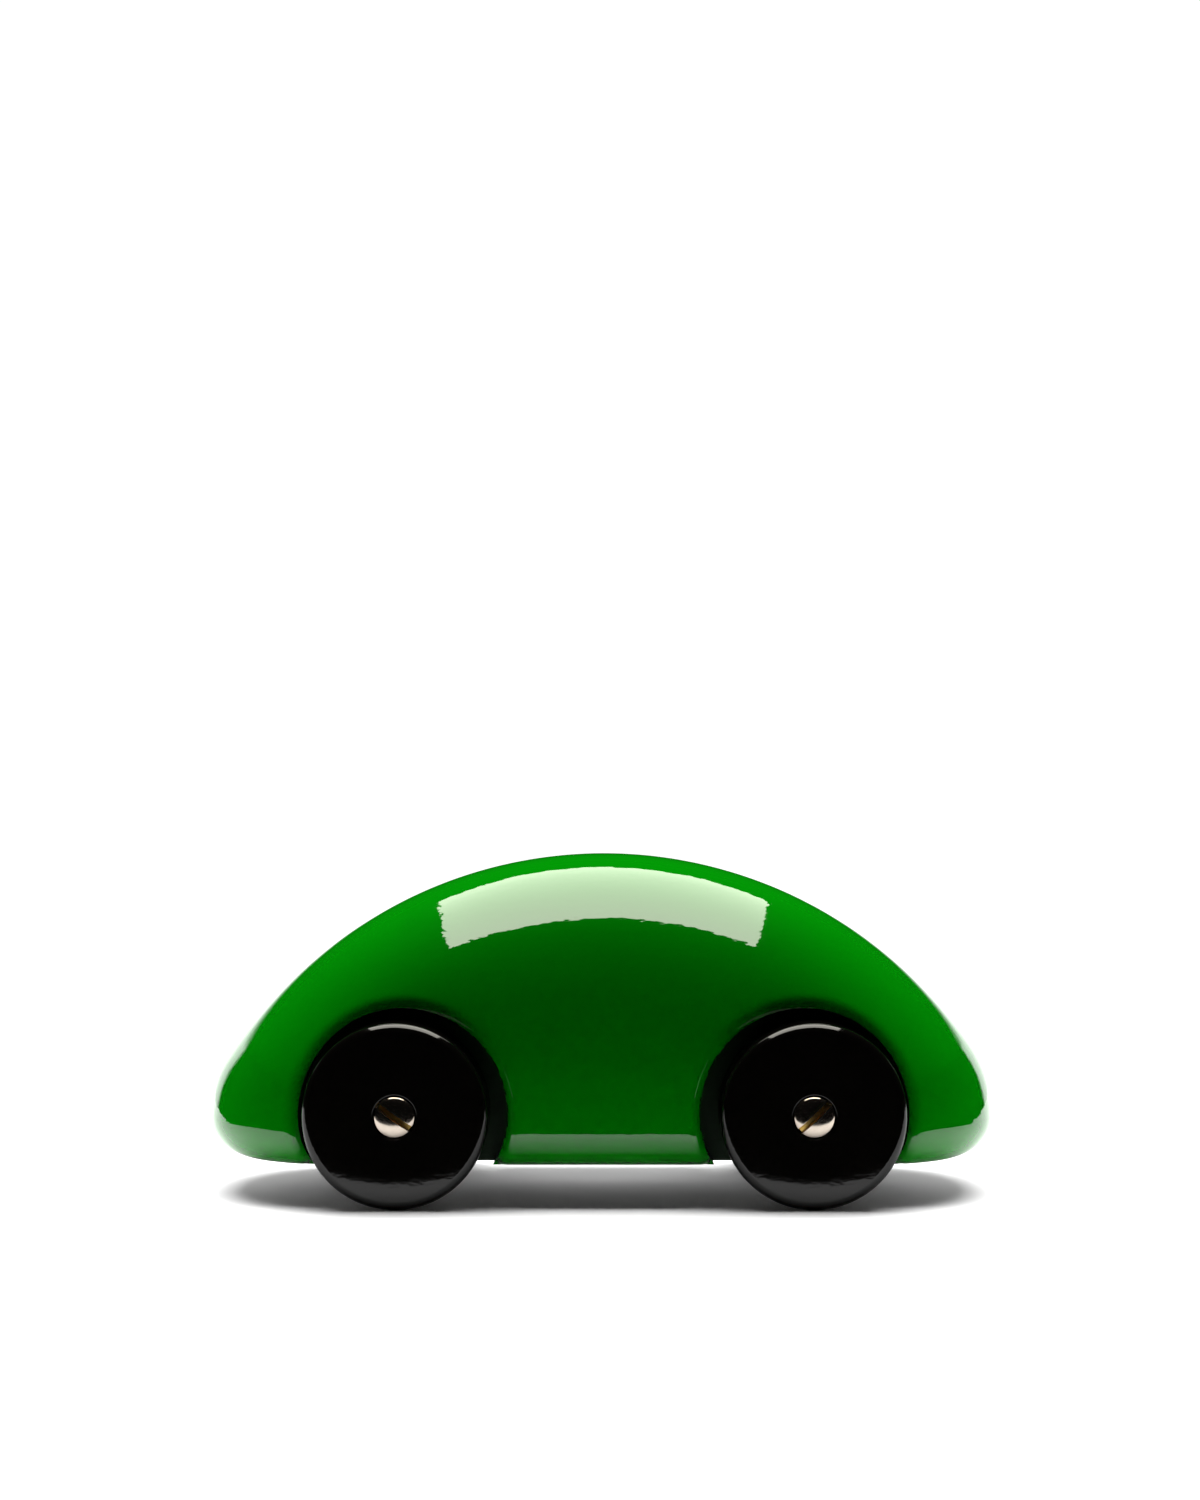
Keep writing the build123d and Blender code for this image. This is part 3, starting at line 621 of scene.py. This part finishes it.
inner_cuts = [
    box_shape("pocket", case_low, case_top, well_painted_shade),
    box_shape("recess", cover_low, cover_top, well_painted_shade),
    cylinder("bush_bore", bush_radius, -beyond, beyond, front_x, axle_z, bore_sides, well_painted_shade),
    cylinder("axle_slot", slot_half, -beyond, beyond, rear_x, axle_z, bore_sides, well_painted_shade),
    box_shape("slot_mouth", (rear_x - slot_half, -mouth_half, 0),
              (rear_x + slot_half, mouth_half, axle_z), well_painted_shade),
]
cut(body, inner_cuts)
tidy_shading(body, 32)
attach(body, "car")
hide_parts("body")


# ---------------------------------------------------------------- wheels
# Solid turned hardwood discs with a deep round on the outer edge, dipped black.
# The lacquer is thick and glossy on the face, with a faint turned grain under it.

def lathe(name, profile, segments, materials, closed):
    """Turns (radius, along) points about the Y line; a closed profile makes a ring."""
    points, faces, rows = [], [], []
    for radius, along in profile:
        if radius < 1e-7:
            rows.append([len(points)] * segments)
            points.append((0, along, 0))
            continue
        rows.append(list(range(len(points), len(points) + segments)))
        for step in range(segments):
            turn = 2 * pi * step / segments
            points.append((radius * cos(turn), along, radius * sin(turn)))
    pairs = list(zip(rows, rows[1:] + rows[:1])) if closed else list(zip(rows, rows[1:]))
    for near, far in pairs:
        for step in range(segments):
            after = (step + 1) % segments
            corners = [near[step], near[after], far[after], far[step]]
            face = tuple(dict.fromkeys(corners))
            if len(face) > 2:
                faces.append(face)
    return make_mesh(name, points, faces, materials)


def arc(centre, radius, start, end, steps):
    """Points of an arc, with angles in degrees from the radius direction."""
    turns = [radians(start + (end - start) * step / steps) for step in range(steps + 1)]
    return [(centre[0] + radius * cos(turn), centre[1] + radius * sin(turn)) for turn in turns]


black_lacquer, shader, tree, tone = finish_material(
    "black lacquer", (0.0012, 0.0010, 0.0008), (0.0022, 0.0019, 0.0016), 60, 0.5, 0.08)
shader.inputs["Specular IOR Level"].default_value = 0.27
shader.inputs["IOR"].default_value = 1.5
add_flow(tree, shader, 150, 0.00007, 900, 0.000016)

spin_body = {"rear": "rear_wheelset", "front": "front_wheelset"}
outer_round = 0.0019
inner_round = 0.0014
screw_radius = 0.0044
axle_radius = 0.004
seat_gap = 0.0001
seat_round = 0.0003
seat_rim = 0.0008
seat_depth = 0.0029
shank_hole = 0.0027
for end in ("rear", "front"):
    for side, hand in ((-1, "right"), (1, "left")):
        node = f"wheel_{end}_{hand}"
        near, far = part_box(node)
        inner, outer = sorted((abs(near[1]), abs(far[1])))
        mouth = screw_radius + seat_gap
        axle_end = max(abs(corner[1]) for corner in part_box("front_axle"))
        profile = [(axle_radius, axle_end), (axle_radius, inner)]
        profile += arc((wheel_radius - inner_round, inner + inner_round), inner_round, -90, 0, 6)
        profile += arc((wheel_radius - outer_round, outer - outer_round), outer_round, 0, 90, 20)
        profile += arc((mouth + seat_round, outer - seat_round), seat_round, 90, 180, 4)
        profile += [(mouth, outer - seat_rim), (shank_hole, outer - seat_depth), (shank_hole, axle_end)]
        profile = [(radius, side * along) for radius, along in profile]
        wheel = lathe("turned_" + node, profile, 160, [black_lacquer], True)
        wheel.location = (wheel_places[end], 0, axle_z)
        tidy_shading(wheel, 30)
        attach(wheel, spin_body[end])
        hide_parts(node)


# ---------------------------------------------------------------- wheel screws
# Raised countersunk machine screws of brass, nickel plated and a little rubbed.
# The plating is worn out of the wide slot, so brass shows on its walls and floor.

def ring_effect():
    """Fine turned rings about the piece's own Y line, as a normal."""
    sizes = [("Pitch", "value", 6000), ("Height", "value", 0.000002)]
    group, given, result = effect("Turned rings", sizes, [("Normal", "vector")])
    place = group.nodes.new("ShaderNodeTexCoord")
    parts = group.nodes.new("ShaderNodeSeparateXYZ")
    flat = group.nodes.new("ShaderNodeCombineXYZ")
    size = group.nodes.new("ShaderNodeVectorMath")
    size.operation = "LENGTH"
    noise = group.nodes.new("ShaderNodeTexNoise")
    noise.noise_dimensions = "1D"
    bump = group.nodes.new("ShaderNodeBump")
    group.links.new(place.outputs["Object"], parts.inputs["Vector"])
    group.links.new(parts.outputs["X"], flat.inputs["X"])
    group.links.new(parts.outputs["Z"], flat.inputs["Z"])
    group.links.new(flat.outputs["Vector"], size.inputs[0])
    group.links.new(size.outputs["Value"], noise.inputs["W"])
    group.links.new(given.outputs["Pitch"], noise.inputs["Scale"])
    group.links.new(given.outputs["Height"], bump.inputs["Distance"])
    group.links.new(noise.outputs["Fac"], bump.inputs["Height"])
    group.links.new(bump.outputs["Normal"], result.inputs["Normal"])
    return group


turned_rings = ring_effect()


def add_rings(tree, shader, pitch, height):
    """Gives a shader the turned ring normal."""
    rings = tree.nodes.new("ShaderNodeGroup")
    rings.node_tree = turned_rings
    rings.inputs["Pitch"].default_value = pitch
    rings.inputs["Height"].default_value = height
    tree.links.new(rings.outputs["Normal"], shader.inputs["Normal"])


nickel, shader, tree, tone = finish_material(
    "screw nickel", (0.47, 0.41, 0.35), (0.36, 0.31, 0.26), 700, 0.3, 0.14, 1.0)
add_rings(tree, shader, 5000, 0.000003)
worn_brass, shader, tree, tone = finish_material(
    "worn brass", (0.30, 0.17, 0.03), (0.75, 0.52, 0.16), 1600, 0.5, 0.28, 1.0)
add_rings(tree, shader, 3000, 0.000004)

dome = 0.0012
skirt = 0.0003
rim_height = 0.0004
shank_radius = 0.0025
dome_steps = 28
slot_reach = 0.006
slot_depth = 0.0021
slot_rise = 0.001
slot_half_width = 0.00062
slot_angles = {"rear_right": -35, "front_right": 43, "rear_left": 20, "front_left": -62}
for name, angle in slot_angles.items():
    end, hand = name.split("_")
    node = f"wheel_screw_{name}"
    near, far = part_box(node)
    side = -1 if hand == "right" else 1
    top = max(abs(near[1]), abs(far[1]))
    tail = min(abs(near[1]), abs(far[1]))
    rim = top - dome
    turns = [pi / 2 * step / dome_steps for step in range(dome_steps + 1)]
    profile = [(screw_radius * sin(turn), rim - skirt + (dome + skirt) * cos(turn)) for turn in turns]
    profile += [(screw_radius, rim - rim_height), (shank_radius, rim - shank_radius)]
    profile += [(shank_radius, tail), (0, tail)]
    profile = [(radius, side * along) for radius, along in profile]
    screw = lathe("plated_" + node, profile, 96, [nickel], False)
    tidy_shading(screw, 30)
    slot_low = (-slot_reach, top - slot_depth, -slot_half_width)
    slot_top = (slot_reach, top + slot_rise, slot_half_width)
    slot = box_shape("slot", slot_low, slot_top, worn_brass)
    slot.data.transform(Matrix.Rotation(radians(angle), 4, "Y"))
    if side < 0:
        slot.data.transform(Matrix.Rotation(pi, 4, "X"))
    tidy_shading(slot, 30)
    cut(screw, [slot])
    soften(screw, 0.00011, 3)
    tidy_shading(screw, 30)
    screw.location = (wheel_places[end], 0, axle_z)
    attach(screw, spin_body[end])
    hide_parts(node)
